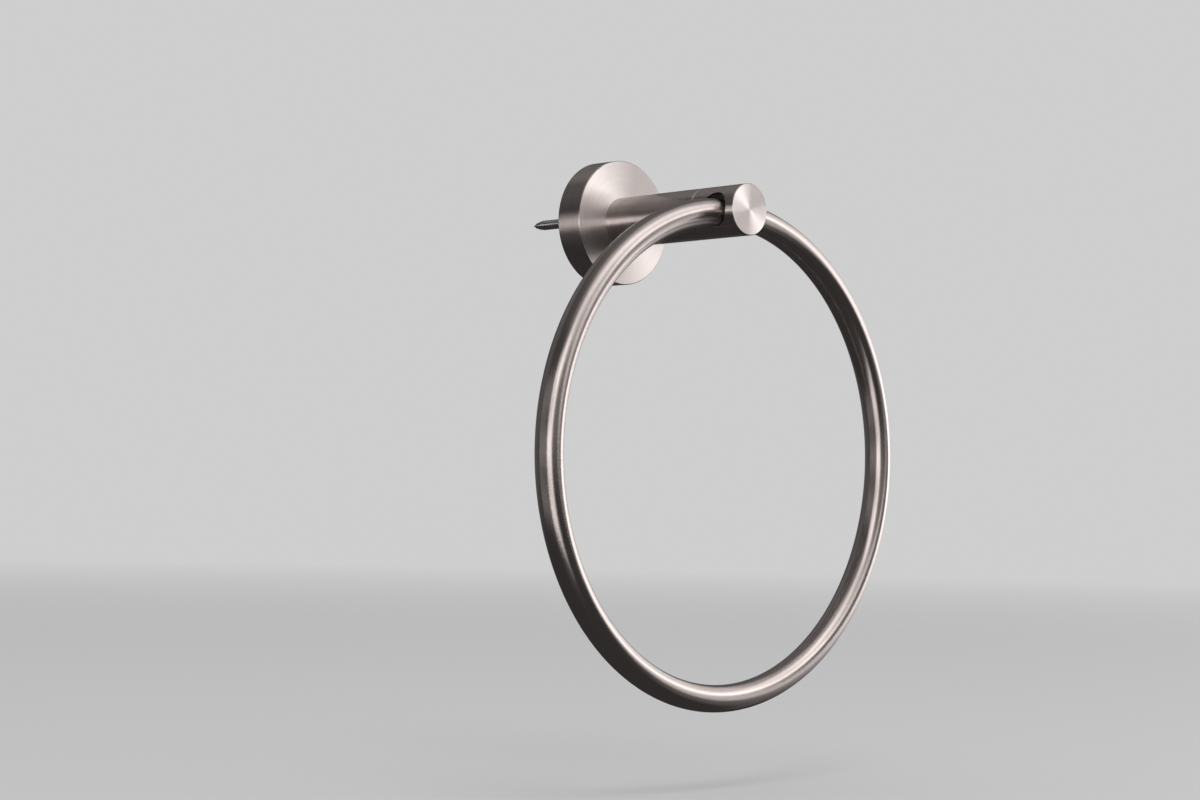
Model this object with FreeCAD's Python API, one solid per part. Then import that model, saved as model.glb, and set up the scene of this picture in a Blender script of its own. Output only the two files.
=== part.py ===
import FreeCAD, Part
import math
import os

# Towel ring for a wall, in millimetres. The wall plane is y = 0 and the ring hangs in front of it.
# +X is to the right, +Z is up and -Y points out of the wall towards the user.
# The origin is the point of the wall plane that the post's axis meets.
# "out" is always a distance out from the wall plane, so a point lies at y = -out.

# Post, its flange and its head, as seen from outside
post_diameter = 20.0
post_projection = 80.0
flange_diameter = 50.0
flange_depth = 12.0
head_length = 22.0
end_chamfer = 0.25
flange_chamfer = 0.3
seam_chamfer = 0.2

# Cross bore in the head and the ring that hangs in it
ring_bore_diameter = 13.0
ring_bore_to_end = 10.0
ring_bore_lip_round = 0.25
ring_pitch_diameter = 186.0
ring_tube_diameter = 10.4
ring_tube_wall = 1.0
ring_hang_gap = 0.2

# Flange cover, a turned cup
cover_plate = 2.2
cover_wall = 2.0
cover_inner_chamfer = 1.0
cover_wall_gap = 0.2

# Wall bracket, a turned dish with a V groove round its rim
bracket_clearance = 0.2
bracket_floor = 3.0
bracket_rim_gap = 1.8
bracket_edge_chamfer = 0.5
groove_depth = 2.3
rim_wall = 2.6
pocket_head_room = 1.0
pocket_side_room = 0.8

# Wall screws in the bracket's two slots
wall_screw_head_diameter = 8.0
wall_screw_head_height = 2.6
wall_screw_head_clearance = 0.9
wall_screw_thread_diameter = 4.0
wall_screw_neck_diameter = 2.9
wall_screw_thread_start = 0.3
wall_screw_reach = 27.0
wall_screw_tip = 4.5
wall_screw_recess_width = 0.9
wall_screw_recess_span = 4.4
wall_screw_recess_depth = 1.4
slot_side_clearance = 0.3
slot_travel = 2.4

# Set screw under the flange, with a cone point that sits in the groove
set_screw_diameter = 4.0
set_screw_length = 4.0
set_screw_inset = 0.3
set_screw_bias = 0.1
set_screw_socket_width = 2.0
set_screw_socket_depth = 1.6
set_screw_cone_height = 1.9

# Screw and washers that clamp the post to the cover from behind
post_screw_diameter = 6.0
post_screw_length = 14.0
post_screw_head_diameter = 10.5
post_screw_head_height = 3.3
post_screw_socket_width = 4.0
post_screw_socket_depth = 2.0
flat_washer_diameter = 18.0
flat_washer_thickness = 1.2
lock_washer_diameter = 11.8
lock_washer_thickness = 1.6
lock_washer_split = 0.9
lock_washer_slant = 25.0
washer_bore_clearance = 0.15
post_spigot_diameter = 12.0
post_spigot_shortfall = 0.2

# Threaded spigot that joins the head to the post
head_spigot_diameter = 10.0
head_spigot_length = 10.0
head_relief_depth = 0.6
head_relief_length = 1.2

# Clearances between pieces that fit together
thread_clearance = 0.04
spigot_clearance = 0.05
tap_run_out = 2.0
lead_chamfer = 0.6

# Sizes that follow from the ones above
post_radius = post_diameter / 2
flange_radius = flange_diameter / 2
seam_out = post_projection - head_length
bore_out = post_projection - ring_bore_to_end
bore_radius = ring_bore_diameter / 2
tube_radius = ring_tube_diameter / 2
ring_radius = ring_pitch_diameter / 2
lip_half_span = math.sqrt(post_radius ** 2 - bore_radius ** 2)
lip_sag = ring_radius - math.sqrt(ring_radius ** 2 - lip_half_span ** 2)
ring_top_drop = bore_radius - tube_radius - lip_sag - ring_hang_gap
ring_centre_z = -ring_top_drop - ring_radius

cover_inner_radius = flange_radius - cover_wall
cover_inner_out = flange_depth - cover_plate
flat_washer_out = cover_inner_out - flat_washer_thickness
lock_washer_out = flat_washer_out - lock_washer_thickness
post_screw_head_out = lock_washer_out - post_screw_head_height
post_spigot_length = cover_plate - post_spigot_shortfall
post_spigot_out = flange_depth - post_spigot_length
post_screw_tip_out = lock_washer_out + post_screw_length
head_spigot_out = seam_out - head_spigot_length

bracket_radius = cover_inner_radius - bracket_clearance
bracket_rim_depth = cover_inner_out - bracket_rim_gap
pocket_out = post_screw_head_out - pocket_head_room
groove_out = bracket_rim_depth / 2
groove_radius = bracket_radius - groove_depth
rim_inner_radius = groove_radius - rim_wall
wall_screw_offset = rim_inner_radius - wall_screw_head_clearance - wall_screw_head_diameter / 2
set_screw_out = groove_out + set_screw_bias
set_screw_low_z = -(flange_radius - set_screw_inset)

wall_axis = FreeCAD.Vector(0, -1, 0)
origin = FreeCAD.Vector(0, 0, 0)


def turned(outline):
    """Turn a closed outline of (radius, out) points about the post's axis."""
    points = [FreeCAD.Vector(radius, -out, 0) for radius, out in outline]
    face = Part.Face(Part.makePolygon(points + points[:1]))
    return face.revolve(origin, wall_axis, 360)


def rod(radius, out_low, out_high, x=0.0):
    """A plain cylinder along the post's direction, between two distances from the wall."""
    return Part.makeCylinder(radius, out_high - out_low, FreeCAD.Vector(x, -out_low, 0), wall_axis)


def box(x_size, out_low, out_high, z_size, x=0.0):
    """A box centred on x and on z = 0, between two distances from the wall."""
    corner = FreeCAD.Vector(x - x_size / 2, -out_high, -z_size / 2)
    return Part.makeBox(x_size, out_high - out_low, z_size, corner)


def hexagon(across_flats, depth, base, axis):
    """A hexagonal prism that starts at base and runs along axis."""
    corner_radius = across_flats / math.sqrt(3)
    corners = []
    for side in range(6):
        turn = math.radians(60 * side)
        corners.append(FreeCAD.Vector(corner_radius * math.cos(turn), corner_radius * math.sin(turn), 0))
    prism = Part.Face(Part.makePolygon(corners + corners[:1])).extrude(FreeCAD.Vector(0, 0, depth))
    prism.Placement = FreeCAD.Placement(base, FreeCAD.Rotation(FreeCAD.Vector(0, 0, 1), axis))
    return prism


def domed_head(radius, height, out_seat, x=0.0):
    """A screw head with its flat side on out_seat, crowned towards the wall's opposite side."""
    shoulder = 0.45 * height
    crown_radius = 0.45 * radius
    side_base = FreeCAD.Vector(radius, 0, 0)
    side_top = FreeCAD.Vector(radius, -shoulder, 0)
    crown_edge = FreeCAD.Vector(crown_radius, -height, 0)
    crown_middle = FreeCAD.Vector(0.84 * radius, -0.84 * height, 0)
    crown_top = FreeCAD.Vector(0, -height, 0)
    edges = [
        Part.makeLine(origin, side_base),
        Part.makeLine(side_base, side_top),
        Part.Arc(side_top, crown_middle, crown_edge).toShape(),
        Part.makeLine(crown_edge, crown_top),
        Part.makeLine(crown_top, origin),
    ]
    head = Part.Face(Part.Wire(edges)).revolve(origin, wall_axis, 360)
    head.translate(FreeCAD.Vector(x, -out_seat, 0))
    return head


def wall_bracket():
    """Dish that is screwed to the wall: thick rim with a V groove, and a pocket for the post's screw."""
    dish = turned([
        (0, 0),
        (bracket_radius - bracket_edge_chamfer, 0),
        (bracket_radius, bracket_edge_chamfer),
        (bracket_radius, groove_out - groove_depth),
        (groove_radius, groove_out),
        (bracket_radius, groove_out + groove_depth),
        (bracket_radius, bracket_rim_depth - bracket_edge_chamfer),
        (bracket_radius - bracket_edge_chamfer, bracket_rim_depth),
        (rim_inner_radius, bracket_rim_depth),
        (rim_inner_radius, bracket_floor),
        (0, bracket_floor),
    ])
    pocket_radius = post_screw_head_diameter / 2 + pocket_side_room
    dish = dish.cut(rod(pocket_radius, pocket_out, bracket_rim_depth))
    slot_radius = wall_screw_thread_diameter / 2 + slot_side_clearance
    for side in (-1, 1):
        middle = side * wall_screw_offset
        for end in (-1, 1):
            dish = dish.cut(rod(slot_radius, 0, bracket_floor, middle + end * slot_travel / 2))
        dish = dish.cut(box(slot_travel, 0, bracket_floor, 2 * slot_radius, middle))
    return dish.removeSplitter()


def wall_screw(side):
    """Pan-head screw: thin neck through the bracket's slot, thread in the wall behind it."""
    x = side * wall_screw_offset
    thread_radius = wall_screw_thread_diameter / 2
    neck_radius = wall_screw_neck_diameter / 2
    shank = turned([
        (0, bracket_floor),
        (neck_radius, bracket_floor),
        (neck_radius, -wall_screw_thread_start + thread_radius - neck_radius),
        (thread_radius, -wall_screw_thread_start),
        (thread_radius, -wall_screw_reach + wall_screw_tip),
        (0, -wall_screw_reach),
    ])
    shank.translate(FreeCAD.Vector(x, 0, 0))
    screw = shank.fuse(domed_head(wall_screw_head_diameter / 2, wall_screw_head_height, bracket_floor, x))
    head_top = bracket_floor + wall_screw_head_height
    recess_floor = head_top - wall_screw_recess_depth
    for span, width in ((wall_screw_recess_span, wall_screw_recess_width),
                        (wall_screw_recess_width, wall_screw_recess_span)):
        screw = screw.cut(box(span, recess_floor, head_top, width, x))
    return screw.removeSplitter()


def flange_cover():
    """Cup that hides the bracket: the post's spigot goes through it, the set screw through its wall."""
    cup = turned([
        (0, cover_inner_out),
        (cover_inner_radius - cover_inner_chamfer, cover_inner_out),
        (cover_inner_radius, cover_inner_out - cover_inner_chamfer),
        (cover_inner_radius, cover_wall_gap),
        (flange_radius, cover_wall_gap),
        (flange_radius, flange_depth - flange_chamfer),
        (flange_radius - flange_chamfer, flange_depth),
        (0, flange_depth),
    ])
    cup = cup.cut(rod(post_spigot_diameter / 2 + spigot_clearance, cover_inner_out, flange_depth))
    hole_radius = set_screw_diameter / 2 + thread_clearance
    hole_base = FreeCAD.Vector(0, -set_screw_out, -flange_radius)
    tapped_hole = Part.makeCylinder(hole_radius, 2 * cover_wall, hole_base, FreeCAD.Vector(0, 0, 1))
    return cup.cut(tapped_hole)


def flange_set_screw():
    """Headless screw with a cone point up in the bracket's groove and a hexagon socket below."""
    radius = set_screw_diameter / 2
    up = FreeCAD.Vector(0, 0, 1)
    base = FreeCAD.Vector(0, -set_screw_out, set_screw_low_z)
    shank_length = set_screw_length - set_screw_cone_height
    shank = Part.makeCylinder(radius, shank_length, base, up)
    cone_base = base + up * shank_length
    cone = Part.makeCone(radius, radius - set_screw_cone_height, set_screw_cone_height, cone_base, up)
    socket = hexagon(set_screw_socket_width, set_screw_socket_depth, base, up)
    return shank.fuse(cone).removeSplitter().cut(socket)


def post_screw():
    """Button-head screw that pulls the post against the cover."""
    radius = post_screw_diameter / 2
    shank = turned([
        (0, lock_washer_out),
        (radius, lock_washer_out),
        (radius, post_screw_tip_out - lead_chamfer),
        (radius - lead_chamfer, post_screw_tip_out),
        (0, post_screw_tip_out),
    ])
    head = domed_head(post_screw_head_diameter / 2, post_screw_head_height, 0)
    head.rotate(origin, FreeCAD.Vector(0, 0, 1), 180)
    head.translate(FreeCAD.Vector(0, -lock_washer_out, 0))
    socket_base = FreeCAD.Vector(0, -post_screw_head_out, 0)
    socket = hexagon(post_screw_socket_width, post_screw_socket_depth, socket_base, wall_axis)
    return shank.fuse(head).removeSplitter().cut(socket)


def flat_washer():
    """Wide washer that bridges the spigot's hole in the cover."""
    bore = post_screw_diameter / 2 + washer_bore_clearance
    washer = rod(flat_washer_diameter / 2, flat_washer_out, cover_inner_out)
    return washer.cut(rod(bore, flat_washer_out, cover_inner_out))


def lock_washer():
    """Split spring washer, closed flat by the screw, with its slanted split at the top."""
    bore = post_screw_diameter / 2 + spigot_clearance
    washer = rod(lock_washer_diameter / 2, lock_washer_out, flat_washer_out)
    washer = washer.cut(rod(bore, lock_washer_out, flat_washer_out))
    split = Part.makeBox(lock_washer_split, 4 * lock_washer_thickness, lock_washer_diameter)
    split.translate(FreeCAD.Vector(-lock_washer_split / 2, -2 * lock_washer_thickness, 0))
    split.rotate(origin, FreeCAD.Vector(0, 0, 1), lock_washer_slant)
    split.translate(FreeCAD.Vector(0, -(lock_washer_out + lock_washer_thickness / 2), 0))
    return washer.cut(split)


def post():
    """Bar with a locating spigot and tapped hole behind, and a tapped socket for the head in front."""
    bar = turned([
        (0, post_spigot_out),
        (post_spigot_diameter / 2, post_spigot_out),
        (post_spigot_diameter / 2, flange_depth),
        (post_radius, flange_depth),
        (post_radius, seam_out - seam_chamfer),
        (post_radius - seam_chamfer, seam_out),
        (0, seam_out),
    ])
    rear_hole = rod(post_screw_diameter / 2 + thread_clearance, post_spigot_out,
                    post_screw_tip_out + tap_run_out)
    socket_radius = head_spigot_diameter / 2 + thread_clearance
    socket_floor = head_spigot_out - tap_run_out
    front_socket = turned([
        (0, socket_floor),
        (socket_radius, socket_floor),
        (socket_radius, seam_out - lead_chamfer),
        (socket_radius + lead_chamfer, seam_out),
        (0, seam_out),
    ])
    return bar.cut(rear_hole).cut(front_socket)


def on_bore_lip(edge):
    """True for the edges where the cross bore breaks out through the head's side."""
    middle = edge.valueAt((edge.FirstParameter + edge.LastParameter) / 2)
    from_bore_axis = math.hypot(middle.y + bore_out, middle.z)
    from_post_axis = math.hypot(middle.x, middle.z)
    return abs(from_bore_axis - bore_radius) < 1e-4 and abs(from_post_axis - post_radius) < 1e-4


def post_head():
    """Front of the post: threaded spigot, cross bore with softened lips and a broken end edge."""
    spigot_radius = head_spigot_diameter / 2
    relief_radius = spigot_radius - head_relief_depth
    head = turned([
        (0, head_spigot_out),
        (spigot_radius - lead_chamfer, head_spigot_out),
        (spigot_radius, head_spigot_out + lead_chamfer),
        (spigot_radius, seam_out - head_relief_length),
        (relief_radius, seam_out - head_relief_length + head_relief_depth),
        (relief_radius, seam_out),
        (post_radius - seam_chamfer, seam_out),
        (post_radius, seam_out + seam_chamfer),
        (post_radius, post_projection - end_chamfer),
        (post_radius - end_chamfer, post_projection),
        (0, post_projection),
    ])
    bore_start = FreeCAD.Vector(-post_diameter, -bore_out, 0)
    head = head.cut(Part.makeCylinder(bore_radius, 2 * post_diameter, bore_start, FreeCAD.Vector(1, 0, 0)))
    lips = [edge for edge in head.Edges if on_bore_lip(edge)]
    return head.makeFillet(ring_bore_lip_round, lips)


def ring():
    """Round tube bent into a closed ring, hanging in the cross bore on its lower lips."""
    centre = FreeCAD.Vector(0, -bore_out, ring_centre_z)
    tube = Part.makeTorus(ring_radius, tube_radius, centre, wall_axis)
    hollow = Part.makeTorus(ring_radius, tube_radius - ring_tube_wall, centre, wall_axis)
    return tube.cut(hollow)


pieces = {
    "wall_bracket": wall_bracket(),
    "wall_screw_left": wall_screw(-1),
    "wall_screw_right": wall_screw(1),
    "flange_cover": flange_cover(),
    "flange_set_screw": flange_set_screw(),
    "post": post(),
    "post_screw": post_screw(),
    "flat_washer": flat_washer(),
    "lock_washer": lock_washer(),
    "post_head": post_head(),
    "ring": ring(),
}

os.makedirs("parts", exist_ok=True)
for name, shape in pieces.items():
    shape.exportStep("parts/" + name + ".step")
    solids = shape.Solids
    print(name, "solids", len(solids), "volume", round(shape.Volume, 2), "valid", shape.isValid())
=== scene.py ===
"""Looks of a wall-mounted towel ring: turned flange and post, cross-bored head, satin ring, fixings behind.

All lengths are metres in the part's own frame: the wall plane is y = 0, the post's axis runs along Y
through x = z = 0, -Y points out of the wall and +Z is up. A point that lies "out" from the wall is at
y = -out.
"""
import logging
import math
from collections.abc import Callable
from dataclasses import dataclass
from dataclasses import field
from enum import Enum

import bmesh
import bpy
from bmesh.types import BMEdge
from bmesh.types import BMVert
from bpy.types import Material
from bpy.types import Mesh
from bpy.types import NodeSocket
from bpy.types import Object
from mathutils import Matrix
from mathutils import Vector


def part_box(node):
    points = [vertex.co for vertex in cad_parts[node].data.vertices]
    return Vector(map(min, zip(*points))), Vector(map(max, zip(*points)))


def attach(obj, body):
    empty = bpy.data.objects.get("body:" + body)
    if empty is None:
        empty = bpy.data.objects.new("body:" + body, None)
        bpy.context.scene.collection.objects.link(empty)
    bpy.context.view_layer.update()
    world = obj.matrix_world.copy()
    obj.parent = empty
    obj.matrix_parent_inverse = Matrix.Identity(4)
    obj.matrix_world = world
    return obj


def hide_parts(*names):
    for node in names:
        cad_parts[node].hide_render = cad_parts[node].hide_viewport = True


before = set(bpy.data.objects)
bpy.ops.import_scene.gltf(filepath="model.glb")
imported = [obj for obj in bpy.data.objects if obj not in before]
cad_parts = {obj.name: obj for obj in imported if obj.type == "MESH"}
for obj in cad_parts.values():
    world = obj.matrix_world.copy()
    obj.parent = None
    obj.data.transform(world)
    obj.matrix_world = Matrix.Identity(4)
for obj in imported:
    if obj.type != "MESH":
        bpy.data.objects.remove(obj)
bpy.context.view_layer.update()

log = logging.getLogger("towel_ring")

MM = 0.001
LINE_RADIUS = 93 * MM
MIDDLE = Vector((0, -0.04, -0.09))
FULL_TURN = 2 * math.pi
FULL_CIRCLE = 360
POLE = 90
WELD = 1e-6
SAME_FACE = 0.9
SMOOTH_LIMIT = math.radians(38)
GROOVE_RUN = 5 * MM
SHEET_FACET = 5
FIXED_BODY = "fixed_post"
RING_BODY = "ring"


class Facing(Enum):
    """Which way a flat face looks along the post's axis."""

    FRONT = -1.0
    WALL = 1.0


class Lay(Enum):
    """The way the fine grooves of a finish run."""

    ROUND_THE_POST = "grooves left by turning, round the post's axis"
    ROUND_THE_TUBE = "fine polishing marks round the section of a bent tube"


class Cut(Enum):
    """How a face was made."""

    TURNED = "round the outside"
    FACED = "flat, looking straight out from the wall"
    BORED = "inside a round hole"


def add_object(name: str, data: bpy.types.ID) -> Object:
    """Put a mesh, lamp or camera into the scene under a name."""
    thing = bpy.data.objects.new(name, data)
    bpy.context.scene.collection.objects.link(thing)
    return thing


def mesh_from(name: str, work: bmesh.types.BMesh) -> Mesh:
    """Make a named mesh of finished bench work, which is used up."""
    mesh = bpy.data.meshes.new(name)
    work.to_mesh(mesh)
    work.free()
    return mesh


def off_axis(point: Vector) -> float:
    """A point's distance from the post's axis."""
    return math.hypot(point.x, point.z)


# Shader maths


def operator_pair(operation: str) -> tuple[Callable, Callable]:
    """A Signal's method for one Python operator, and the reflected one for a Signal on its right side."""
    def plain(self: "Signal", other: object) -> "Signal":
        """The Signal comes first."""
        return self.combine(operation, self, other)

    def reflected(self: "Signal", other: object) -> "Signal":
        """The Signal comes second."""
        return self.combine(operation, other, self)

    return plain, reflected


class Signal:
    """A number from a shader socket, which can be used in Python expressions."""

    def __init__(self, graph: "Graph", socket: NodeSocket) -> None:
        """Keep the socket and the graph that new nodes are added to."""
        self.graph = graph
        self.socket = socket

    def combine(self, operation: str, first: object, second: object) -> "Signal":
        """Add one Math node on two operands, each a Signal or a number."""
        node = self.graph.node("ShaderNodeMath", {"operation": operation}, {0: first, 1: second})
        return Signal(self.graph, node.outputs[0])

    __add__, __radd__ = operator_pair("ADD")
    __sub__, __rsub__ = operator_pair("SUBTRACT")
    __mul__, __rmul__ = operator_pair("MULTIPLY")
    __truediv__, __rtruediv__ = operator_pair("DIVIDE")

    def folded(self) -> "Signal":
        """Fold the value to and fro between -1 and 1."""
        return self.combine("PINGPONG", self, 1.0) * 2.0 - 1.0

    def smooth_step(self, low: float, high: float) -> "Signal":
        """Rise smoothly from 0 at the value low to 1 at the value high."""
        sockets = {"Value": self, "From Min": low, "From Max": high}
        node = self.graph.node("ShaderNodeMapRange", {"interpolation_type": "SMOOTHSTEP"}, sockets)
        return Signal(self.graph, node.outputs[0])


class Graph:
    """The nodes of one material or of the world."""

    def __init__(self, owner: bpy.types.ID) -> None:
        """Empty the node tree of a material or a world."""
        owner.use_nodes = True
        self.tree = owner.node_tree
        self.tree.nodes.clear()

    def node(self, kind: str, settings: dict[str, object] | None = None,
             sockets: dict[str | int, object] | None = None) -> bpy.types.Node:
        """Add a node, give it its settings and then its socket values or links.

        Args:
            kind: the node's type name.
            settings: attributes to set first.
            sockets: input name or number with a Signal, an output socket or a plain value.

        Returns:
            The new node.
        """
        node = self.tree.nodes.new(kind)
        for name, value in (settings or {}).items():
            setattr(node, name, value)
        for key, value in (sockets or {}).items():
            source = value.socket if isinstance(value, Signal) else value
            if isinstance(source, NodeSocket):
                self.tree.links.new(source, node.inputs[key])
            else:
                node.inputs[key].default_value = source
        return node

    def vector(self, operation: str, *operands: object) -> NodeSocket:
        """Add one Vector Math node on vectors or vector sockets."""
        sockets = dict(enumerate(operands))
        return self.node("ShaderNodeVectorMath", {"operation": operation}, sockets).outputs[0]

    def scaled(self, vector: object, factor: object) -> NodeSocket:
        """A vector times a number or a Signal."""
        sockets = {0: vector, "Scale": factor}
        return self.node("ShaderNodeVectorMath", {"operation": "SCALE"}, sockets).outputs[0]

    def length(self, vector: object) -> Signal:
        """The length of a vector as a Signal."""
        node = self.node("ShaderNodeVectorMath", {"operation": "LENGTH"}, {0: vector})
        return Signal(self, node.outputs["Value"])

    def split(self, vector: object) -> tuple[Signal, Signal, Signal]:
        """The three parts of a vector as Signals."""
        node = self.node("ShaderNodeSeparateXYZ", None, {0: vector})
        return tuple(Signal(self, output) for output in node.outputs)

    def join(self, x: object, y: object, z: object) -> NodeSocket:
        """A vector from three numbers or Signals."""
        return self.node("ShaderNodeCombineXYZ", None, {0: x, 1: y, 2: z}).outputs[0]

    def noise(self, vector: object, detail: float = 1.0) -> Signal:
        """Soft noise about one unit wide, centred on 0 and mostly within 0.3 of it."""
        sockets = {"Vector": vector, "Scale": 1.0, "Detail": detail, "Roughness": 0.5}
        node = self.node("ShaderNodeTexNoise", {"noise_dimensions": "3D"}, sockets)
        return Signal(self, node.outputs["Fac"]) - 0.5

    def tint(self, share: Signal, dark: tuple, light: tuple) -> NodeSocket:
        """Blend two colours: a share of 0 gives dark and 1 gives light."""
        settings = {"data_type": "RGBA", "blend_type": "MIX"}
        node = self.node("ShaderNodeMix", settings, {"Factor": share, 6: (*dark, 1.0), 7: (*light, 1.0)})
        return node.outputs[2]


# Finishes


Colour = tuple[float, float, float]


@dataclass(frozen=True)
class Groove:
    """One size of brush or lathe mark.

    Attributes:
        pitch: distance from mark to mark, across the grooves.
        runs: how often a mark changes along its run, for each radian or each GROOVE_RUN.
        tilt: how far the flanks of a mark tip the surface.
        folds: how many flanks one mark has.
    """

    pitch: float
    runs: float
    tilt: float
    folds: float = 8.0


@dataclass(frozen=True)
class Flank:
    """The share of a grooved surface that leans one way across the grooves.

    Attributes:
        slope: how steeply it leans.
        share: its share of the surface.
    """

    slope: float
    share: float


@dataclass(frozen=True)
class SteelFinish:
    """Stainless steel with fine grooves that all run one way.

    Attributes:
        name: the material's name.
        lay: which way the grooves run.
        centre: a point of the axis that the grooves run round.
        tube_line_radius: radius of a bent tube's centre line, for Lay.ROUND_THE_TUBE.
        light: colour of the metal between the grooves.
        dark: colour of the metal in the grooves.
        roughness: how much it scatters light along the grooves.
        roughness_drift: how far the roughness changes over the surface.
        flanks: how the grooves' sides lean.
        fine: the marks that are too fine to be seen one by one.
        streak: the marks that can be seen.
        cloud_size: size of the soft patches in which the finish changes.
        streak_shade: how strongly the marks that can be seen change the colour.
        cloud_shade: how strongly the patches change it.
        fine_shade: how strongly the finest marks change it.
    """

    name: str
    lay: Lay = Lay.ROUND_THE_POST
    centre: tuple[float, float, float] = (0.0, 0.0, 0.0)
    tube_line_radius: float = 0.0
    light: Colour = (0.69, 0.622, 0.6)
    dark: Colour = (0.545, 0.485, 0.465)
    roughness: float = 0.17
    roughness_drift: float = 0.05
    flanks: tuple[Flank, ...] = (
        Flank(0.0, 0.32), Flank(0.33, 0.2), Flank(-0.33, 0.2), Flank(0.84, 0.14), Flank(-0.84, 0.14),
    )
    fine: Groove = Groove(0.2 * MM, 1.2, 0.08)
    streak: Groove = Groove(0.5 * MM, 0.5, 0.04, 1.5)
    cloud_size: float = 9 * MM
    streak_shade: float = 1.4
    cloud_shade: float = 0.6
    fine_shade: float = 0.4

    def material(self) -> Material:
        """Build the material.

        Returns:
            The finished material.
        """
        made = bpy.data.materials.new(self.name)
        graph = Graph(made)
        place = graph.node("ShaderNodeTexCoord").outputs["Object"]
        from_centre = graph.vector("SUBTRACT", place, self.centre)
        flat = graph.vector("MULTIPLY", from_centre, (1.0, 0.0, 1.0))
        radial = graph.vector("NORMALIZE", flat)
        radius = graph.length(flat)
        height = graph.split(from_centre)[1]
        fine = graph.noise(self._groove_place(graph, self.fine, radial, radius, height))
        streak = graph.noise(self._groove_place(graph, self.streak, radial, radius, height), detail=2.0)
        lean = (fine * self.fine.folds).folded() * self.fine.tilt
        wave = (streak * self.streak.folds).folded() * self.streak.tilt
        clouds = graph.noise(graph.scaled(place, 1 / self.cloud_size), detail=2.0)
        shade = 0.5 + streak * self.streak_shade + clouds * self.cloud_shade + fine * self.fine_shade
        colour = graph.tint(shade, self.dark, self.light)
        roughness = self.roughness + self.roughness_drift * (streak + clouds)
        true_normal = graph.node("ShaderNodeNewGeometry").outputs["Normal"]
        across = self._across(graph, radial, true_normal)
        tilt = lean + wave
        shown = None
        share = 0.0
        for flank in self.flanks:
            tipped = graph.vector("ADD", true_normal, graph.scaled(across, tilt + flank.slope))
            metal = graph.node("ShaderNodeBsdfPrincipled", None, {
                "Base Color": colour,
                "Metallic": 1.0,
                "Roughness": roughness,
                "Normal": graph.vector("NORMALIZE", tipped),
            }).outputs[0]
            share += flank.share
            part = {0: flank.share / share, 1: shown, 2: metal}
            shown = graph.node("ShaderNodeMixShader", None, part).outputs[0] if shown else metal
        graph.node("ShaderNodeOutputMaterial", None, {"Surface": shown})
        return made

    def _groove_place(self, graph: Graph, groove: Groove, radial: NodeSocket,
                      radius: Signal, height: Signal) -> NodeSocket:
        """Where the noise of one size of groove is read.

        Args:
            graph: the material's nodes.
            groove: the size of groove.
            radial: unit vector away from the axis.
            radius: distance from the axis.
            height: distance along the axis.

        Returns:
            A vector that changes fast across the grooves and slowly along them.
        """
        if self.lay is Lay.ROUND_THE_POST:
            along = graph.scaled(radial, groove.runs)
            across = (radius + height) / groove.pitch
            return graph.vector("ADD", along, graph.join(0.0, across, 0.0))
        density = groove.runs / GROOVE_RUN
        off_line = (radius - self.tube_line_radius) * density
        across = graph.scaled(radial, off_line + self.tube_line_radius / groove.pitch)
        return graph.vector("ADD", across, graph.join(0.0, height * density, 0.0))

    def _across(self, graph: Graph, radial: NodeSocket, true_normal: NodeSocket) -> NodeSocket:
        """The direction across the grooves, in which their flanks tip the surface.

        Args:
            graph: the material's nodes.
            radial: unit vector away from the axis, in the piece's own space.
            true_normal: the surface's own normal.

        Returns:
            The direction.
        """
        round_axis = graph.vector("CROSS_PRODUCT", (0.0, 1.0, 0.0), radial)
        to_world = {"vector_type": "VECTOR", "convert_from": "OBJECT", "convert_to": "WORLD"}
        run = graph.node("ShaderNodeVectorTransform", to_world, {0: round_axis}).outputs[0]
        if self.lay is Lay.ROUND_THE_POST:
            return graph.vector("CROSS_PRODUCT", true_normal, run)
        return run


# Bench work


@dataclass(frozen=True)
class RoundFace:
    """A cylindrical face about an axis through a point, whose true normals are known.

    Attributes:
        radius: radius of the face.
        centre: a point of its axis.
        axis: direction of its axis.
        hollow: True for a bore, whose faces look inwards.
    """

    radius: float
    centre: Vector = field(default_factory=lambda: Vector((0, 0, 0)))
    axis: Vector = field(default_factory=lambda: Vector((0, 1, 0)))
    hollow: bool = False

    def normal_at(self, point: Vector) -> Vector | None:
        """The face's normal at a point, or None for a point off the face."""
        arm = point - self.centre
        arm = arm - self.axis * arm.dot(self.axis)
        if abs(arm.length - self.radius) > WELD:
            return None
        return -arm.normalized() if self.hollow else arm.normalized()


@dataclass(frozen=True)
class FlatFace:
    """A flat face square to the post's axis.

    Attributes:
        out: its distance from the wall plane.
        facing: which way it looks.
    """

    out: float
    facing: Facing

    def normal_at(self, point: Vector) -> Vector | None:
        """The face's normal at a point, or None for a point off the face."""
        return Vector((0, self.facing.value, 0)) if abs(point.y + self.out) < WELD else None


TrueFaces = list[RoundFace | FlatFace]
Finishes = dict[Cut, Material]


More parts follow.
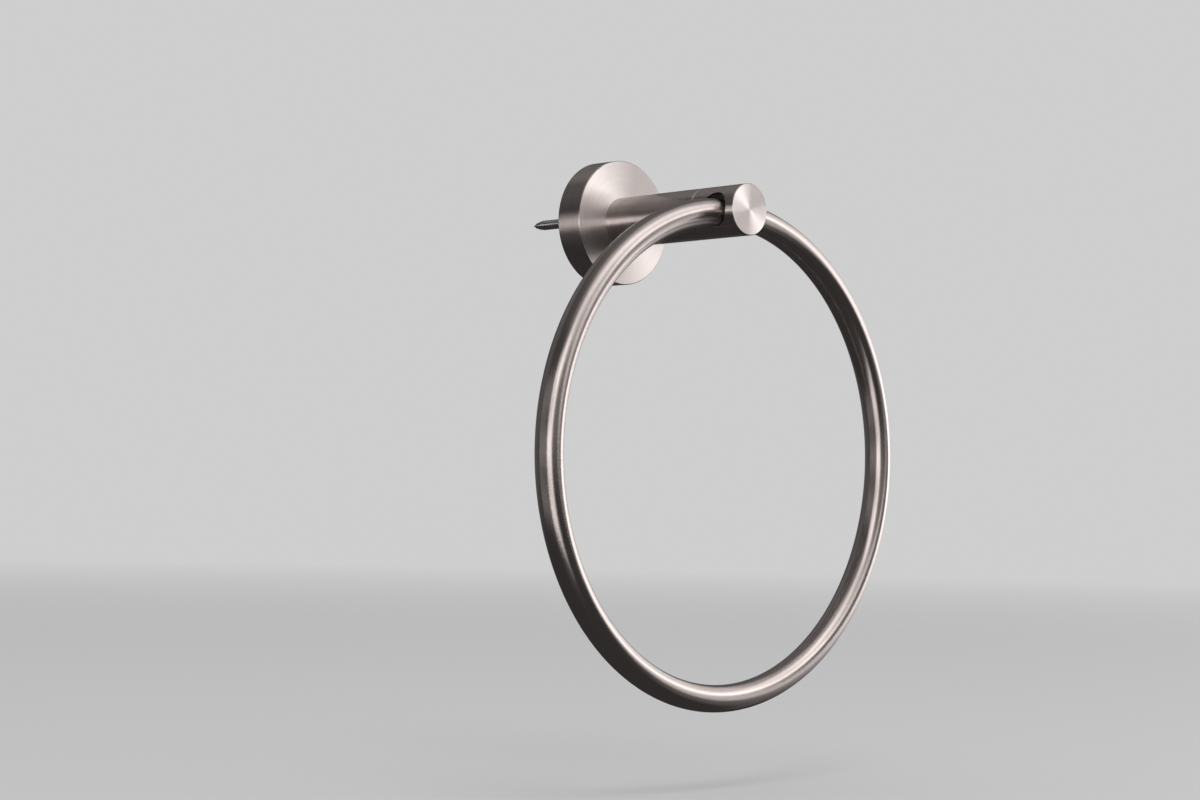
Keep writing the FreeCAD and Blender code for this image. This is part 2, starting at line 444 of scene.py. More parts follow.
class Workpiece:
    """One piece while it is being made, as a bmesh."""

    def __init__(self, name: str) -> None:
        """Start an empty piece, which will carry this name when it is finished."""
        self.name = name
        self.bm = bmesh.new()

    def turn(self, outline: list[tuple[float, float]], steps: int, start: float = 0.0,
             share: float = 1.0) -> None:
        """Turn an open outline of (radius, out) points about the post's axis.

        Args:
            outline: the outline's points.
            steps: how many facets a full turn has.
            start: angle of the outline's own plane, from +X towards +Z.
            share: the share of a full turn, 1 for all of it.
        """
        points = [Vector((r * math.cos(start), -out, r * math.sin(start))) for r, out in outline]
        verts = [self.bm.verts.new(point) for point in points]
        edges = [self.bm.edges.new(pair) for pair in zip(verts, verts[1:])]
        bmesh.ops.spin(self.bm, geom=verts + edges, cent=(0, 0, 0), axis=(0, -1, 0), dvec=(0, 0, 0),
                       angle=FULL_TURN * share, steps=round(steps * share), use_merge=share == 1.0,
                       use_normal_flip=False, use_duplicate=False)

    def drilled_panel(self, radius: float, outs: tuple[float, float], half_angle: float, middle: float,
                      hole_radius: float, hole_out: float, round_steps: int, long_steps: int,
                      rings: int, crowding: float = 1.4) -> list[BMEdge]:
        """Make a panel with a round hole, bent round the post's axis.

        The panel is laid out flat between the hole and its four sides, and then bent.

        Args:
            radius: radius that the panel is bent to.
            outs: its two ends, as distances from the wall.
            half_angle: half of the angle that it covers.
            middle: angle of the hole's axis, from +X towards +Z.
            hole_radius: radius of the straight hole.
            hole_out: the hole's distance from the wall.
            round_steps: facets along each bent side.
            long_steps: facets along each straight side.
            rings: rows of facets between the hole and the sides.
            crowding: how much closer together the rows stand near the hole.

        Returns:
            The edges of the hole.
        """
        stations = 2 * (round_steps + long_steps)
        low, high = outs
        corners = [Vector((low - hole_out, -half_angle)), Vector((high - hole_out, -half_angle)),
                   Vector((high - hole_out, half_angle)), Vector((low - hole_out, half_angle))]
        counts = [long_steps, round_steps, long_steps, round_steps]
        border = [a.lerp(b, step / count) for a, b, count in zip(corners, corners[1:] + corners[:1], counts)
                  for step in range(count)]

        def flat_place(station: int, share: float) -> Vector:
            """The place of a station between the hole (share 0) and the side (share 1)."""
            side = border[station]
            turn = math.atan2(side.y * radius, side.x)
            across = math.asin(hole_radius * math.sin(turn) / radius)
            return Vector((hole_radius * math.cos(turn), across)).lerp(side, share)

        def bent(place: Vector) -> Vector:
            """A flat place on the bent panel."""
            angle = middle + place.y
            return Vector((radius * math.cos(angle), -(hole_out + place.x), radius * math.sin(angle)))

        mark = self.bm.verts.layers.int.get("station") or self.bm.verts.layers.int.new("station")
        circle = bmesh.ops.create_circle(self.bm, cap_ends=False, segments=stations, radius=radius)["verts"]
        for station, vert in enumerate(circle):
            vert[mark] = station
        hole = list({edge for vert in circle for edge in vert.link_edges})
        for vert in circle:
            vert.co = bent(flat_place(vert[mark], 0.0))
        row = hole
        for ring in range(1, rings + 1):
            row, verts = self._grow(row)
            share = (ring / rings) ** crowding
            for vert in verts:
                vert.co = bent(flat_place(vert[mark], share))
        return hole

    def _grow(self, edges: list[BMEdge]) -> tuple[list[BMEdge], list[BMVert]]:
        """Grow a row of facets on edges, and give its new edges and points."""
        grown = bmesh.ops.extrude_edge_only(self.bm, edges=edges)["geom"]
        return ([part for part in grown if isinstance(part, BMEdge)],
                [part for part in grown if isinstance(part, BMVert)])

    def edges_where(self, fits: Callable[[Vector], bool]) -> list[BMEdge]:
        """The edges whose two ends both pass a test."""
        return [edge for edge in self.bm.edges if all(fits(vert.co) for vert in edge.verts)]

    def edges_at(self, radius: float, out: float) -> list[BMEdge]:
        """The ring of edges at a radius and a distance from the wall."""
        return self.edges_where(lambda point: abs(off_axis(point) - radius) < WELD
                                and abs(point.y + out) < WELD)

    def carry(self, edges: list[BMEdge], outline: list[tuple[float, float]]) -> None:
        """Carry a ring of edges on along an outline of (radius, out) points, to a pole if it ends at 0.

        Args:
            edges: the ring to start from.
            outline: the points that follow it.
        """
        row = edges
        for radius, out in outline:
            row, verts = self._grow(row)
            for vert in verts:
                arm = Vector((vert.co.x, 0, vert.co.z)).normalized() * radius
                vert.co = Vector((arm.x, -out, arm.z))

    def ease(self, edges: list[BMEdge], size: float, segments: int) -> None:
        """Round edges off, as far from the corner as size says, in so many facets."""
        bmesh.ops.bevel(self.bm, geom=edges, offset=size, offset_type="OFFSET", segments=segments,
                        profile=0.5, affect="EDGES", material=-1, clamp_overlap=True, loop_slide=True)

    def weld(self) -> None:
        """Merge what lies in one place and turn all faces outwards."""
        bmesh.ops.remove_doubles(self.bm, verts=self.bm.verts, dist=WELD)
        bmesh.ops.recalc_face_normals(self.bm, faces=self.bm.faces)

    def finish(self, finishes: Finishes, body: str, replaces: list[str],
               true_faces: TrueFaces) -> Object:
        """End the work: smooth shading, materials and body, and hide the nodes that it replaces.

        Args:
            finishes: the finish for each kind of face, first the one for all the others.
            body: the body that the piece rides on.
            replaces: the nodes that the piece stands for.
            true_faces: faces whose exact normals the shading takes.

        Returns:
            The finished object.
        """
        for face in self.bm.faces:
            face.smooth = True
        mesh = mesh_from(self.name, self.bm)
        mesh.set_sharp_from_angle(angle=SMOOTH_LIMIT)
        if true_faces:
            mesh.normals_split_custom_set([
                self._true_normal(mesh.vertices[index].co, facet.normal, true_faces)
                for facet in mesh.polygons for index in facet.vertices
            ])
        for material in finishes.values():
            mesh.materials.append(material)
        cuts = list(finishes)
        for facet in mesh.polygons:
            cut = self._cut_of(mesh, facet, true_faces)
            facet.material_index = cuts.index(cut) if cut in cuts else 0
        piece = add_object(self.name, mesh)
        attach(piece, body)
        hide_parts(*replaces)
        log.info("%s: %d faces on %s", self.name, len(mesh.polygons), body)
        return piece

    @staticmethod
    def _cut_of(mesh: Mesh, facet: bpy.types.MeshPolygon, true_faces: TrueFaces) -> Cut:
        """How a facet was made, from the way it looks and the bores that it may lie on."""
        if facet.normal.y < -SAME_FACE:
            return Cut.FACED
        points = [mesh.vertices[index].co for index in facet.vertices]
        for face in true_faces:
            hollow = isinstance(face, RoundFace) and face.hollow
            if hollow and all(face.normal_at(point) for point in points):
                return Cut.BORED
        return Cut.TURNED

    @staticmethod
    def _true_normal(point: Vector, facet_normal: Vector, true_faces: TrueFaces) -> Vector:
        """The exact normal at a point of a facet, or no vector, which keeps the mesh's own."""
        for face in true_faces:
            normal = face.normal_at(point)
            if normal and normal.dot(facet_normal) > SAME_FACE:
                return normal
        return Vector((0, 0, 0))


# Sub-assemblies


@dataclass
class FlangeCover:
    """The turned cup on the wall, with the set screw's hole in its underside.

    Attributes:
        radius: outer radius.
        depth: how far its face stands from the wall.
        wall_gap: gap between its rim and the wall.
        screw_out: the set screw's distance from the wall.
        wall: thickness of its side.
        plate: thickness of its face.
        post_hole_radius: hole that the post's spigot sits in.
        screw_hole_radius: hole for the set screw.
        edge: size of the broken front edge.
        inner_chamfer: chamfer in the inner corner.
        rim_round: rounding of the rim's outer edge.
        steps: facets of a full turn.
        panel_steps: facets taken by the drilled panel.
        panel_rings: rows of facets round the drilled hole.
    """

    radius: float
    depth: float
    wall_gap: float
    screw_out: float
    wall: float = 2.0 * MM
    plate: float = 2.2 * MM
    post_hole_radius: float = 6.05 * MM
    screw_hole_radius: float = 2.04 * MM
    edge: float = 0.3 * MM
    inner_chamfer: float = 1.0 * MM
    rim_round: float = 0.15 * MM
    steps: int = 256
    panel_steps: int = 24
    panel_rings: int = 6

    def build(self, finishes: Finishes) -> Object:
        """Turn the cup, drill its side and dress it.

        Args:
            finishes: the finish for each kind of face.

        Returns:
            The finished cup.
        """
        work = Workpiece("flange_cover_turned")
        inner = self.radius - self.wall
        inner_out = self.depth - self.plate
        side_ends = (self.wall_gap, self.depth - self.edge)
        inner_ends = (self.wall_gap, inner_out - self.inner_chamfer)
        work.turn([
            (self.radius, side_ends[1]),
            (self.radius - self.edge, self.depth),
            (0.5 * self.radius, self.depth),
            (self.post_hole_radius, self.depth),
            (self.post_hole_radius, inner_out),
            (inner - self.inner_chamfer, inner_out),
            (inner, inner_ends[1]),
        ], self.steps)
        work.turn([(inner, self.wall_gap), (self.radius, self.wall_gap)], self.steps)
        half_angle = math.pi * self.panel_steps / self.steps
        down = -math.pi / 2
        rest = (self.steps - self.panel_steps) / self.steps
        holes = []
        for radius, ends in ((self.radius, side_ends), (inner, inner_ends)):
            work.turn([(radius, ends[0]), (radius, ends[1])], self.steps, down + half_angle, rest)
            holes += work.drilled_panel(radius, ends, half_angle, down, self.screw_hole_radius,
                                        self.screw_out, self.panel_steps, 1, self.panel_rings)
        bmesh.ops.bridge_loops(work.bm, edges=holes)
        work.weld()
        work.ease(work.edges_at(self.radius, self.wall_gap), self.rim_round, 2)
        return work.finish(finishes, FIXED_BODY, ["flange_cover"], [
            RoundFace(self.radius),
            RoundFace(inner, hollow=True),
            FlatFace(self.depth, Facing.FRONT),
            FlatFace(self.wall_gap, Facing.WALL),
        ])


@dataclass
class Post:
    """The bar between the flange and the head.

    Attributes:
        radius: the bar's radius.
        seat_out: where it stands on the flange.
        seam_out: where the head begins.
        rear_out: the end of its spigot behind the flange's face.
        spigot_radius: the spigot's radius.
        screw_hole_radius: tapped hole in the rear.
        screw_hole_out: the floor of that hole.
        socket_radius: tapped socket for the head.
        socket_out: the floor of that socket.
        edge: size of the seam's chamfer.
        lead: chamfer at the socket's mouth.
        steps: facets of a full turn.
    """

    radius: float
    seat_out: float
    seam_out: float
    rear_out: float
    spigot_radius: float = 6.0 * MM
    screw_hole_radius: float = 3.04 * MM
    screw_hole_out: float = 24.6 * MM
    socket_radius: float = 5.04 * MM
    socket_out: float = 46.0 * MM
    edge: float = 0.2 * MM
    lead: float = 0.6 * MM
    steps: int = 192

    def build(self, finishes: Finishes) -> Object:
        """Turn the bar and dress it.

        Args:
            finishes: the finish for each kind of face.

        Returns:
            The finished bar.
        """
        work = Workpiece("post_turned")
        work.turn([
            (0.0, self.screw_hole_out),
            (self.screw_hole_radius, self.screw_hole_out),
            (self.screw_hole_radius, self.rear_out),
            (self.spigot_radius, self.rear_out),
            (self.spigot_radius, self.seat_out),
            (self.radius, self.seat_out),
            (self.radius, self.seam_out - self.edge),
            (self.radius - self.edge, self.seam_out),
            (self.socket_radius + self.lead, self.seam_out),
            (self.socket_radius, self.seam_out - self.lead),
            (self.socket_radius, self.socket_out),
            (0.0, self.socket_out),
        ], self.steps)
        work.weld()
        return work.finish(finishes, FIXED_BODY, ["post"], [
            RoundFace(self.radius),
            FlatFace(self.seam_out, Facing.FRONT),
            FlatFace(self.seat_out, Facing.WALL),
        ])


@dataclass
class PostHead:
    """The post's front end, with the cross bore that the ring hangs in.

    Attributes:
        radius: the head's radius.
        seam_out: where the post ends.
        end_out: the front face.
        spigot_out: the rear end of the threaded spigot.
        bore_out: the cross bore's distance from the wall.
        bore_radius: the cross bore's radius.
        lip_round: rounding of the bore's lips.
        end_edge: size of the front edge.
        seam_edge: size of the seam's chamfer.
        spigot_radius: the spigot's radius.
        relief_radius: radius of the relief behind the seam.
        relief_length: length of that relief.
        lead: chamfer at the spigot's end.
        half_turn_steps: facets of half a turn.
        long_steps: facets along the head.
        bore_rings: rows of facets round the bore.
        lip_steps: facets of a lip's rounding.
        face_rows: rows of facets in the front face, as shares of its radius.
    """

    radius: float
    seam_out: float
    end_out: float
    spigot_out: float
    bore_out: float
    bore_radius: float = 6.5 * MM
    lip_round: float = 0.25 * MM
    end_edge: float = 0.25 * MM
    seam_edge: float = 0.2 * MM
    spigot_radius: float = 5.0 * MM
    relief_radius: float = 4.4 * MM
    relief_length: float = 1.2 * MM
    lead: float = 0.6 * MM
    half_turn_steps: int = 64
    long_steps: int = 32
    bore_rings: int = 9
    lip_steps: int = 4
    face_rows: tuple[float, ...] = (0.6, 0.2, 0.0)

    def build(self, finishes: Finishes) -> Object:
        """Bend the drilled sides, bore the head through, close its ends and dress it.

        Args:
            finishes: the finish for each kind of face.

        Returns:
            The finished head.
        """
        work = Workpiece("post_head_bored")
        ends = (self.seam_out + self.seam_edge, self.end_out - self.end_edge)
        holes = []
        for middle in (0.0, math.pi):
            holes += work.drilled_panel(self.radius, ends, math.pi / 2, middle, self.bore_radius,
                                        self.bore_out, self.half_turn_steps, self.long_steps,
                                        self.bore_rings)
        bmesh.ops.bridge_loops(work.bm, edges=holes)
        work.weld()
        work.ease(work.edges_where(self._on_lip), self.lip_round, self.lip_steps)
        face = [(share * self.radius, self.end_out) for share in self.face_rows]
        work.carry(work.edges_at(self.radius, ends[1]), [(self.radius - self.end_edge, self.end_out), *face])
        relief_end = self.seam_out - self.relief_length
        work.carry(work.edges_at(self.radius, ends[0]), [
            (self.radius - self.seam_edge, self.seam_out),
            (self.relief_radius, self.seam_out),
            (self.relief_radius, relief_end + self.spigot_radius - self.relief_radius),
            (self.spigot_radius, relief_end),
            (self.spigot_radius, self.spigot_out + self.lead),
            (self.spigot_radius - self.lead, self.spigot_out),
            (0.0, self.spigot_out),
        ])
        work.weld()
        bore_centre = Vector((0, -self.bore_out, 0))
        return work.finish(finishes, FIXED_BODY, ["post_head"], [
            RoundFace(self.radius),
            RoundFace(self.bore_radius, bore_centre, Vector((1, 0, 0)), hollow=True),
            FlatFace(self.end_out, Facing.FRONT),
            FlatFace(self.seam_out, Facing.WALL),
        ])

    def _on_lip(self, point: Vector) -> bool:
        """True for a point where the cross bore breaks out through the head's side."""
        from_bore = math.hypot(point.y + self.bore_out, point.z)
        return abs(from_bore - self.bore_radius) < WELD and abs(off_axis(point) - self.radius) < WELD


@dataclass
class Ring:
    """The bent tube.

    Attributes:
        centre: the middle of the ring.
        line_radius: radius of the tube's centre line.
        tube_radius: radius of the tube.
        steps: facets round the ring.
        section_steps: facets round the tube.
    """

    centre: Vector
    line_radius: float
    tube_radius: float
    steps: int = 360
    section_steps: int = 64

    def build(self, material: Material) -> Object:
        """Sweep the tube's section round the ring and dress it.

        Args:
            material: the tube's finish.

        Returns:
            The finished ring.
        """
        work = Workpiece("ring_tube")
        top = self.centre + Vector((0, 0, self.line_radius))
        stand = Matrix.Translation(top) @ Matrix.Rotation(math.pi / 2, 4, "Y")
        section = bmesh.ops.create_circle(work.bm, cap_ends=False, segments=self.section_steps,
                                          radius=self.tube_radius, matrix=stand)["verts"]
        edges = list({edge for vert in section for edge in vert.link_edges})
        bmesh.ops.spin(work.bm, geom=section + edges, cent=self.centre, axis=(0, 1, 0), dvec=(0, 0, 0),
                       angle=FULL_TURN, steps=self.steps, use_merge=True, use_normal_flip=False,
                       use_duplicate=False)
        work.weld()
        return work.finish({Cut.TURNED: material}, RING_BODY, ["ring"], [])


@dataclass
class WallScrew:
    """A pan-head screw through the bracket, with its coarse thread behind the wall plane.

    Attributes:
        side: "left" or "right", as the node's name ends.
        x: the screw's distance from the post's axis.
        reach: how far its tip lies behind the wall plane.
        neck_radius: radius of the neck, and of the thread's root.
        thread_radius: radius of the thread's crest.
        thread_start: where the thread begins behind the wall plane.
        taper: length of the pointed end.
        pitch: distance from thread to thread.
        flank_shares: shares of the pitch where the flank rises, the crest begins and the crest ends.
        run_in: turns over which the thread rises from the neck.
        point_swell: power that keeps the point full.
        point_thread: how much sooner than the point the thread narrows.
        steps: facets of a full turn.
    """

    side: str
    x: float
    reach: float
    neck_radius: float = 1.45 * MM
    thread_radius: float = 2.0 * MM
    thread_start: float = 0.3 * MM
    taper: float = 6.0 * MM
    pitch: float = 1.6 * MM
    flank_shares: tuple[float, float, float] = (0.52, 0.72, 0.8)
    run_in: float = 1.5
    point_swell: float = 0.8
    point_thread: float = 2.5
    steps: int = 32

    def build(self, material: Material) -> Object:
        """Cut the thread, join it to the solid's own head and neck, and dress the screw.

        Args:
            material: the screw's finish.

        Returns:
            The finished screw.
        """
        work = Workpiece(f"wall_screw_{self.side}_threaded")
        self._cut_thread(work)
        bmesh.ops.translate(work.bm, verts=work.bm.verts, vec=(self.x, 0, 0))
        thread_end = work.edges_where(lambda point: abs(point.y - self.thread_start) < WELD)
        neck_end = self._copy_head(work)
        bmesh.ops.bridge_loops(work.bm, edges=thread_end + neck_end)
        work.weld()
        node = f"wall_screw_{self.side}"
        return work.finish({Cut.TURNED: material}, FIXED_BODY, [node], [])

    def _copy_head(self, work: Workpiece) -> list[BMEdge]:
        """Copy the solid's head and neck to the piece, down to the wall plane.

        Args:
            work: the piece that gets them.

        Returns:
            The edges of the neck's open end.
        """
        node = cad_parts[f"wall_screw_{self.side}"]
        solid = node.data.copy()
        solid.transform(node.matrix_world)
        before = set(work.bm.faces)
        work.bm.from_mesh(solid)
        bpy.data.meshes.remove(solid)
        faces = [face for face in work.bm.faces if face not in before]
        verts = list({vert for face in faces for vert in face.verts})
        bmesh.ops.remove_doubles(work.bm, verts=verts, dist=WELD)
        faces = [face for face in work.bm.faces if face not in before]
        parts = list({part for face in faces for part in (*face.verts, *face.edges)}) + faces
        cut = bmesh.ops.bisect_plane(work.bm, geom=parts, dist=WELD / 10, plane_co=(0, 0, 0),
                                     plane_no=(0, 1, 0), clear_outer=True, clear_inner=False)["geom_cut"]
        return [part for part in cut if isinstance(part, BMEdge)]

    def _cut_thread(self, work: Workpiece) -> None:
        """Wind one pitch of the thread's outline down the shank of an empty piece, and point its end."""
        rise, crest, fall = self.flank_shares
        outline = [(self.neck_radius, 0.0), (self.neck_radius, rise), (self.thread_radius, crest),
                   (self.thread_radius, fall), (self.neck_radius, 1.0)]
        start = self.thread_start - 2 * self.pitch
        turns = math.ceil((self.reach - start) / self.pitch) + 1
        verts = [work.bm.verts.new((radius, start + share * self.pitch, 0)) for radius, share in outline]
        edges = [work.bm.edges.new(pair) for pair in zip(verts, verts[1:])]
        bmesh.ops.spin(work.bm, geom=verts + edges, cent=(0, 0, 0), axis=(0, -1, 0),
                       dvec=(0, self.pitch / self.steps, 0), angle=FULL_TURN * turns,
                       steps=self.steps * turns, use_merge=False, use_normal_flip=False, use_duplicate=False)
        bmesh.ops.remove_doubles(work.bm, verts=work.bm.verts, dist=WELD)
        for place, keep_side in ((self.thread_start, -1), (self.reach, 1)):
            everything = work.bm.verts[:] + work.bm.edges[:] + work.bm.faces[:]
            bmesh.ops.bisect_plane(work.bm, geom=everything, dist=WELD / 10, plane_co=(0, place, 0),
                                   plane_no=(0, keep_side, 0), clear_outer=True, clear_inner=False)
        for vert in work.bm.verts:
            self._shape_thread(vert)

    def _shape_thread(self, vert: BMVert) -> None:
        """Move one point, so that the thread runs in at the neck and the shank narrows to its tip."""
        from_start = vert.co.y - self.thread_start
        run_in = min(1.0, from_start / (self.run_in * self.pitch))
        to_tip = max(0.0, self.reach - vert.co.y)
        narrow = min(1.0, to_tip / self.taper)
        arm = Vector((vert.co.x, 0, vert.co.z))
        height = (arm.length - self.neck_radius) * run_in * min(1.0, self.point_thread * narrow)
        radius = self.neck_radius * narrow ** self.point_swell + height
        arm = arm.normalized() * radius
        vert.co = Vector((arm.x, vert.co.y, arm.z))


# Studio


def direction(azimuth: float, elevation: float) -> Vector:
    """The direction at an azimuth, 0 to the front and 90 to the right, and an elevation, in degrees."""
    turn = math.radians(azimuth)
    lift = math.radians(elevation)
    return Vector((math.sin(turn) * math.cos(lift), -math.cos(turn) * math.cos(lift), math.sin(lift)))


@dataclass(frozen=True)
class Panel:
    """A curved panel round the object, which only the metal shows.

    It is a clear sheet of light, so where sheets overlap their light adds up, or else a card.

    Attributes:
        name: the panel's name.
        span: its lowest and highest azimuth, and its lowest and highest elevation, in degrees.
        brightness: how bright it is.
        feather: width of its soft edge, in degrees.
        tint: colour of its light.
        distance: how far away it stands.
        covers: True for a card that hides what is behind it.
    """

    name: str
    span: tuple[float, float, float, float]
    brightness: float
    feather: float
    tint: Colour = (1.025, 0.99, 0.98)
    distance: float = 3.0
    covers: bool = False

    def build(self, around: Vector) -> None:
        """Bend a sheet round the middle of the object and make it glow."""
        left, right, bottom, top = self.span
        width = right - left
        height = top - bottom
        sheet = bmesh.new()
        sheet.loops.layers.uv.new("UVMap")
        bmesh.ops.create_grid(sheet, x_segments=math.ceil(width / SHEET_FACET),
                              y_segments=math.ceil(height / SHEET_FACET), size=0.5, calc_uvs=True)
        for vert in sheet.verts:
            azimuth = left + width * (vert.co.x + 0.5)
            elevation = bottom + height * (vert.co.y + 0.5)
            vert.co = around + direction(azimuth, elevation) * self.distance
        panel = add_object(self.name, mesh_from(self.name, sheet))
        panel.data.materials.append(self._glow())
        panel.visible_camera = False
        panel.visible_diffuse = False
        panel.visible_shadow = False

    def _glow(self) -> Material:
        """Make the panel's material, which fades out at every edge that isn't a pole or a seam."""
        left, right, bottom, top = self.span
        made = bpy.data.materials.new(self.name)
        graph = Graph(made)
        across, up, _ = graph.split(graph.node("ShaderNodeTexCoord").outputs["UV"])
        strength = self.brightness
        edges = []
        if right - left < FULL_CIRCLE:
            edges += [(across, right - left), (1 - across, right - left)]
        if bottom > -POLE:
            edges.append((up, top - bottom))
        if top < POLE:
            edges.append((1 - up, top - bottom))
        for share, size in edges:
            strength = share.smooth_step(0.0, self.feather / size) * strength
        glow = graph.node("ShaderNodeEmission", None, {"Color": (*self.tint, 1.0), "Strength": strength})
        if not self.covers:
            clear = graph.node("ShaderNodeBsdfTransparent")
            glow = graph.node("ShaderNodeAddShader", None, {0: clear.outputs[0], 1: glow.outputs[0]})
        graph.node("ShaderNodeOutputMaterial", None, {"Surface": glow.outputs[0]})
        return made


@dataclass
class Studio:
    """Pale floor and surroundings, one soft lamp overhead, and the panels that the metal shows.

    Attributes:
        around: the middle of the object.
        lowest: height of the object's lowest point.
        pale: colour of the surroundings.
        floor_colour: colour of the floor.
        floor_drop: how far the floor lies below the object's lowest point.
        lamp_place: where the lamp hangs.
        lamp_size: width of the lamp.
        lamp_radiance: brightness of the lamp.
        floor_reach: half of the floor's width.
        floor_fade: where the floor begins and ends to fade into the surroundings.
        panels: the card that hides the pale surroundings from the metal, then the sheets of light.
    """

    around: Vector
    lowest: float
    pale: Colour = (0.62, 0.62, 0.625)
    floor_colour: Colour = (0.82, 0.82, 0.825)
    floor_drop: float = 0.03
    lamp_place: tuple[float, float, float] = (-0.35, -0.75, 1.25)
    lamp_size: float = 0.7
    lamp_radiance: float = 2.2
    floor_reach: float = 12.0
    floor_fade: tuple[float, float] = (0.8, 4.0)
    panels: tuple[Panel, ...] = (
        Panel("surround_card", (-180, 180, -90, 90), 0.04, 0, distance=3.4, covers=True),
        Panel("fill_wall_side", (112, 236, -16, 18), 0.1, 14),
        Panel("fill_wall_side_high", (106, 232, 14, 64), 0.11, 12),
        Panel("fill_left_high", (-134, -40, 14, 64), 0.03, 12),
        Panel("fill_overhead", (-180, 180, 58, 90), 0.12, 12),
        Panel("strip_left", (-130, -58, -12, 12), 0.52, 10),
        Panel("softbox_left", (-65, -21, -14, 18), 1.85, 10),
        Panel("softbox_left_middle", (-65, -31, -9, 11), 1.8, 9),
        Panel("softbox_left_side", (-43, -15, -14, 18), 0.85, 10),
        Panel("spill_left_low", (-64, -20, -30, -8), 0.05, 8),
        Panel("softbox_top", (-38, 68, 30, 66), 1.5, 12),
        Panel("softbox_top_edge", (-34, 34, 12, 40), 0.5, 12),
        Panel("softbox_top_corner", (20, 66, 12, 40), 2.45, 12),
        Panel("spill_overhead", (-60, 80, 56, 86), 0.5, 12),
        Panel("softbox_right", (57, 117, -18, 35), 1.32, 11),
        Panel("softbox_right_middle", (57, 91, -13, 15), 1.0, 11),
        Panel("spill_right_low", (56, 116, -32, -10), 0.28, 9),
        Panel("spill_right_high", (58, 116, 26, 66), 0.5, 12),
    )

    def build(self) -> None:
        """Set up the floor, the surroundings, the lamp and the panels."""
        self._floor()
        self._surroundings()
        self._lamp()
        for panel in self.panels:
            panel.build(self.around)
        bpy.context.scene.view_settings.view_transform = "Standard"
        log.info("studio: %d panels", len(self.panels))

    def _floor(self) -> None:
        """A plain pale floor that fades into the surroundings far away."""
        sheet = bmesh.new()
        bmesh.ops.create_grid(sheet, x_segments=1, y_segments=1, size=self.floor_reach)
        bmesh.ops.translate(sheet, vec=(0, 0, self.lowest - self.floor_drop), verts=sheet.verts)
        floor = add_object("floor", mesh_from("floor", sheet))
        made = bpy.data.materials.new("pale_floor")
        graph = Graph(made)
        place = graph.node("ShaderNodeTexCoord").outputs["Object"]
        fade = graph.length(place).smooth_step(*self.floor_fade)
        paint = graph.node("ShaderNodeBsdfPrincipled", None, {
            "Base Color": (*self.floor_colour, 1.0),
            "Roughness": 0.7,
            "Specular IOR Level": 0.2,
        })
        clear = graph.node("ShaderNodeBsdfTransparent")
        shader = graph.node("ShaderNodeMixShader", None, {0: fade, 1: paint.outputs[0], 2: clear.outputs[0]})
        graph.node("ShaderNodeOutputMaterial", None, {"Surface": shader.outputs[0]})
        floor.data.materials.append(made)
        floor.visible_glossy = False

    def _surroundings(self) -> None:
        """Plain pale surroundings."""
        world = bpy.data.worlds.new("pale_surroundings")
        graph = Graph(world)
        glow = graph.node("ShaderNodeBackground", None, {"Color": (*self.pale, 1.0), "Strength": 1.0})
        graph.node("ShaderNodeOutputWorld", None, {"Surface": glow.outputs[0]})
        bpy.context.scene.world = world

    def _lamp(self) -> None:
        """Hang the soft lamp that gives the floor its shadow."""
        data = bpy.data.lights.new("softbox_overhead", "AREA")
        data.shape = "DISK"
        data.size = self.lamp_size
        data.energy = self.lamp_radiance * math.pi * math.pi * (self.lamp_size / 2) ** 2
        lamp = add_object("softbox_overhead", data)
        aim = Vector(self.lamp_place) - self.around
        turn = aim.to_track_quat("Z", "Y").to_matrix().to_4x4()
        lamp.matrix_world = Matrix.Translation(self.lamp_place) @ turn
        lamp.visible_camera = False
        lamp.visible_glossy = False


@dataclass(frozen=True)
class ViewCamera:
    """The camera, at the photograph's viewing angle.

    Attributes:
        place: where it stands.
        yaw: angle of its view from +Y towards +X, in radians.
        pitch: how far it looks up, in radians.
        roll: how far it leans, in radians.
        focal_share: focal length as a share of the picture's width.
        sensor_width: width of the sensor, in the millimetres that the focal length is given in.
        near: the nearest distance that it shows.
        far: the farthest distance that it shows.
    """

    place: tuple[float, float, float] = (-0.6513, -0.66162, -0.11894)
    yaw: float = 0.77815
    pitch: float = 0.05125
    roll: float = 0.02196
    focal_share: float = 2292.9 / 1200
    sensor_width: float = 36.0
    near: float = 0.05
    far: float = 60.0

    def build(self) -> None:
        """Add the camera and make it the scene's own."""
        data = bpy.data.cameras.new("view_camera")
        data.sensor_width = self.sensor_width
        data.lens = self.sensor_width * self.focal_share
        data.clip_start = self.near
        data.clip_end = self.far
        turn = (Matrix.Rotation(-self.yaw, 4, "Z") @ Matrix.Rotation(math.pi / 2 + self.pitch, 4, "X")
                @ Matrix.Rotation(self.roll, 4, "Z"))
        camera = add_object("view_camera", data)
        camera.matrix_world = Matrix.Translation(self.place) @ turn
        bpy.context.scene.camera = camera


def dress_node(name: str, material: Material) -> None:
    """Give its finish to a CAD node that stays."""
    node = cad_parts[name]
    node.data.materials.clear()
    node.data.materials.append(material)
    log.info("%s: dressed as %s", name, material.name)


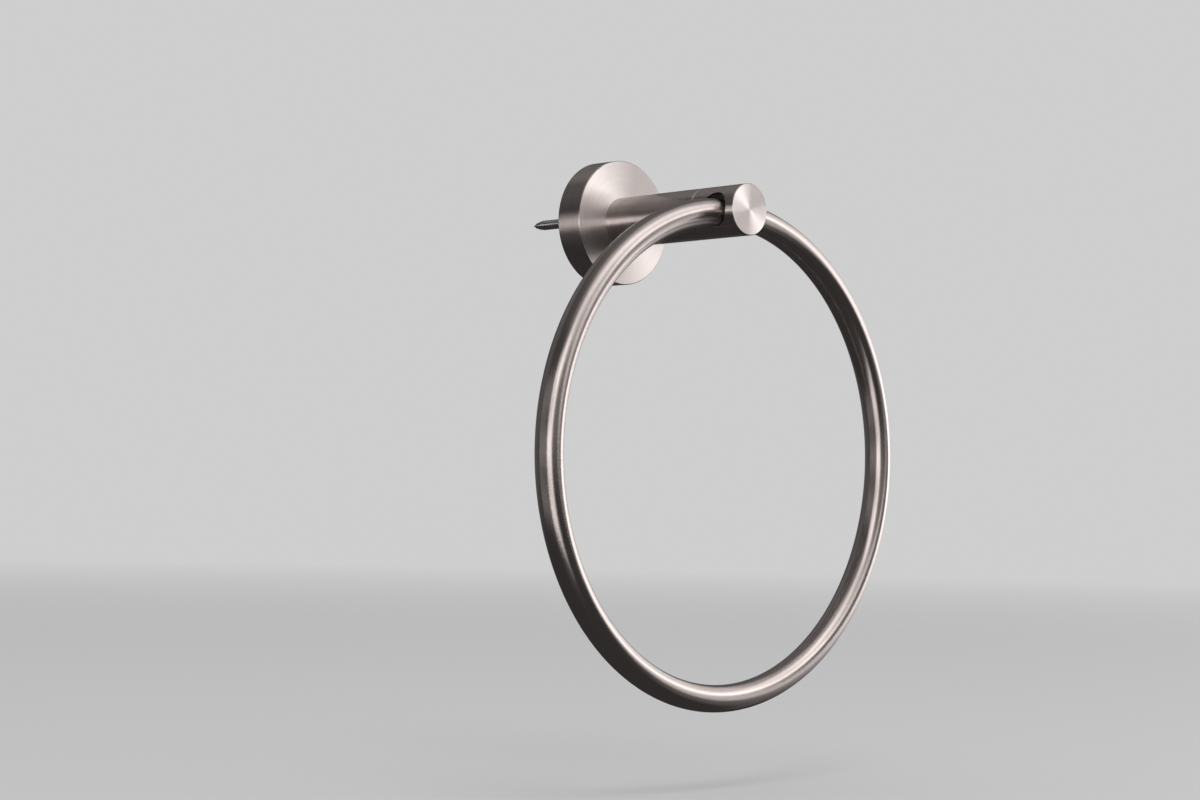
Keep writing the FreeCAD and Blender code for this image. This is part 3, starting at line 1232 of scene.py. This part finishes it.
def main() -> None:
    """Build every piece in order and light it."""
    logging.basicConfig(level=logging.INFO, format="%(name)s %(message)s")
    cover_low, cover_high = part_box("flange_cover")
    post_low, post_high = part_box("post")
    head_low, head_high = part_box("post_head")
    ring_low, ring_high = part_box("ring")
    set_screw_low, set_screw_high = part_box("flange_set_screw")
    seam_out = -post_low.y
    tube_radius = round((ring_high.y - ring_low.y) / 2, 4)
    ring_bottom = ring_low.z
    ring_centre = Vector((0, (ring_low.y + ring_high.y) / 2, ring_bottom + LINE_RADIUS + tube_radius))

    turned = SteelFinish("turned_stainless").material()
    # Flat front faces: the flanks and roughness are their finer facing. The colours, raised far above the
    # turned steel's, are painted light that makes these faces brighter.
    faced_painted_light = SteelFinish("faced_painted_light_stainless", light=(0.97, 0.907, 0.886), dark=(0.87, 0.808, 0.787),
                        roughness=0.31, roughness_drift=0.04,
                        fine=Groove(0.2 * MM, 1.2, 0.06), streak=Groove(0.5 * MM, 0.5, 0.022, 1.5),
                        flanks=(Flank(0.0, 0.06), Flank(0.17, 0.18), Flank(-0.17, 0.18), Flank(0.36, 0.2),
                                Flank(-0.36, 0.2), Flank(0.8, 0.09), Flank(-0.8, 0.09))).material()
    tube = SteelFinish("satin_tube_steel", lay=Lay.ROUND_THE_TUBE, centre=tuple(ring_centre),
                       tube_line_radius=LINE_RADIUS, roughness=0.19, roughness_drift=0.03,
                       flanks=(Flank(0.0, 0.4), Flank(0.19, 0.3), Flank(-0.19, 0.3)),
                       light=(0.67, 0.605, 0.583), dark=(0.62, 0.56, 0.54),
                       fine=Groove(0.25 * MM, 1.0, 0.012),
                       streak=Groove(0.5 * MM, 0.5, 0.006, 1.5)).material()
    # Bores: a rougher finish, and colours darkened far below the turned steel's as painted shade inside the
    # holes.
    bored_painted_shade = SteelFinish("bored_painted_shade_stainless", light=(0.42, 0.4, 0.39), dark=(0.3, 0.285, 0.28),
                        roughness=0.38, roughness_drift=0.05, flanks=(Flank(0.0, 1.0),)).material()
    finishes = {Cut.TURNED: turned, Cut.FACED: faced_painted_light, Cut.BORED: bored_painted_shade}
    bracket = SteelFinish("bracket_steel_turned", light=(0.56, 0.56, 0.56), dark=(0.42, 0.42, 0.42),
                          roughness=0.36).material()
    fastener = SteelFinish("screw_steel_bright", light=(0.68, 0.67, 0.66), dark=(0.55, 0.55, 0.54),
                           roughness=0.26,
                           flanks=(Flank(0.0, 0.5), Flank(0.3, 0.25), Flank(-0.3, 0.25))).material()

    FlangeCover(cover_high.x, -cover_low.y, -cover_high.y,
                -(set_screw_low.y + set_screw_high.y) / 2).build(finishes)
    Post(post_high.x, -cover_low.y, seam_out, -post_high.y).build(finishes)
    PostHead(head_high.z, seam_out, -head_low.y, -head_high.y, -ring_centre.y).build(finishes)
    Ring(ring_centre, LINE_RADIUS, tube_radius).build(tube)
    for side in ("left", "right"):
        screw_low, screw_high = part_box(f"wall_screw_{side}")
        WallScrew(side, (screw_low.x + screw_high.x) / 2, screw_high.y).build(fastener)
    dress_node("wall_bracket", bracket)
    for name in ("flange_set_screw", "post_screw", "flat_washer", "lock_washer"):
        dress_node(name, fastener)

    Studio(MIDDLE, ring_bottom).build()
    ViewCamera().build()


if __name__ == "__main__":
    main()
